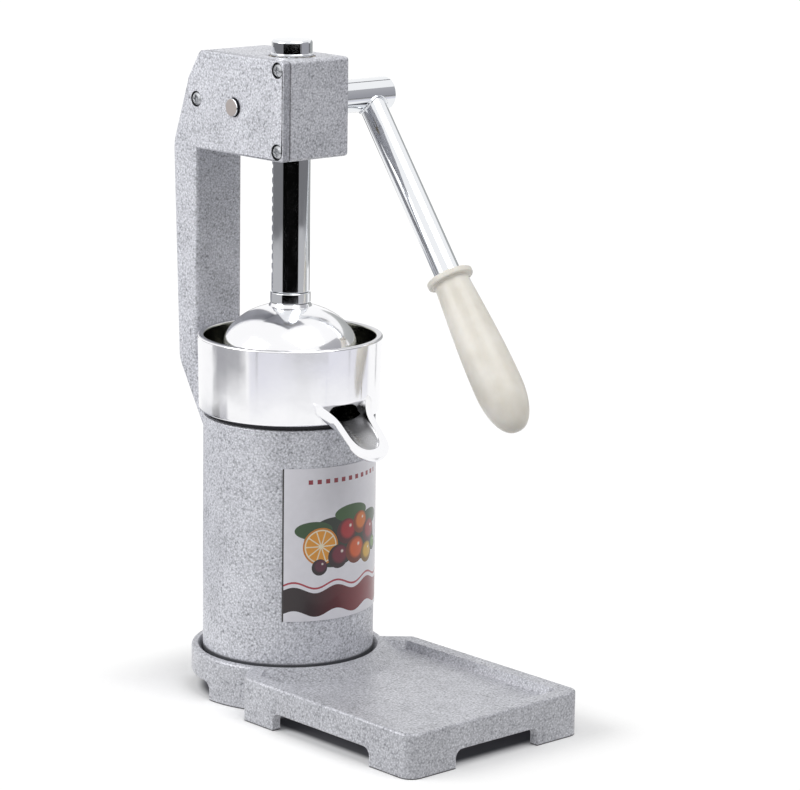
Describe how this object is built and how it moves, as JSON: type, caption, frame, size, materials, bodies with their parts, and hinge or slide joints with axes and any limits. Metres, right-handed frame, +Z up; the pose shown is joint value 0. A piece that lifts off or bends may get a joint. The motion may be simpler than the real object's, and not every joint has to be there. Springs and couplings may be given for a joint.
{
  "type": "manual juicer",
  "caption": "Upright lever press for fruit: cast base with tray, round column, bowl with spout, domed press cup on a rack-driven ram, gearbox head on a C-shaped arm.",
  "frame": {"origin": "middle of the bounding box at ground level; the ram's axis stands at x = -0.0152, y = 0.0523", "axes": "+Z up along the ram, -Y towards the tray and spout, +X towards the crank lever"},
  "size_m": [0.1794, 0.3032, 0.4349],
  "materials": {
    "hammertone": "silver-grey hammertone enamel, fine mottled grain",
    "chrome": "bright chrome plate",
    "polished": "hand-polished, bright",
    "steel": "zinc plated or bright steel",
    "bronze": "oiled bearing bronze",
    "ivory": "satin ivory plastic",
    "label": "printed film on the column"
  },
  "bodies": {
    "frame": {"base_casting": "hammertone", "column_tube": "hammertone", "frame_casting": "hammertone", "gearbox_cover": "hammertone", "bowl": "polished", "reamer_cone": "polished", "column_foot_plate": "steel", "base_bolt_1": "steel", "base_bolt_2": "steel", "base_bolt_3": "steel", "arm_bolt_upper": "steel", "arm_bolt_lower": "steel", "arm_backing_plate": "steel", "cover_screw_front_top": "steel", "cover_screw_front_bottom": "steel", "cover_screw_rear": "steel", "strainer": "steel", "lower_guide_bush": "bronze", "upper_guide_bush": "bronze", "shaft_bush": "bronze", "column_label": "label"},
    "ram": {"ram": "chrome", "ram_cap": "chrome", "press_cup": "polished", "cup_collar": "chrome", "cup_screw": "steel"},
    "crank": {"crank_shaft": "chrome", "pinion": "steel", "pinion_pin": "steel", "lever_tube": "chrome", "grip": "ivory"}
  },
  "joints": [
    {"name": "crank_turn", "type": "hinge", "parent": "frame", "child": "crank", "pos_m": [-0.0152, 0.07774, 0.39], "axis": [-1, 0, 0], "range_deg": [0, 281]},
    {"name": "ram_lift", "type": "slide", "parent": "frame", "child": "ram", "axis": [0, 0, 1], "range_m": [0, 0.0883]}
  ],
  "couplings": [
    {"joint": "ram_lift", "follows": "crank_turn", "m_per_rad": 0.018}
  ]
}
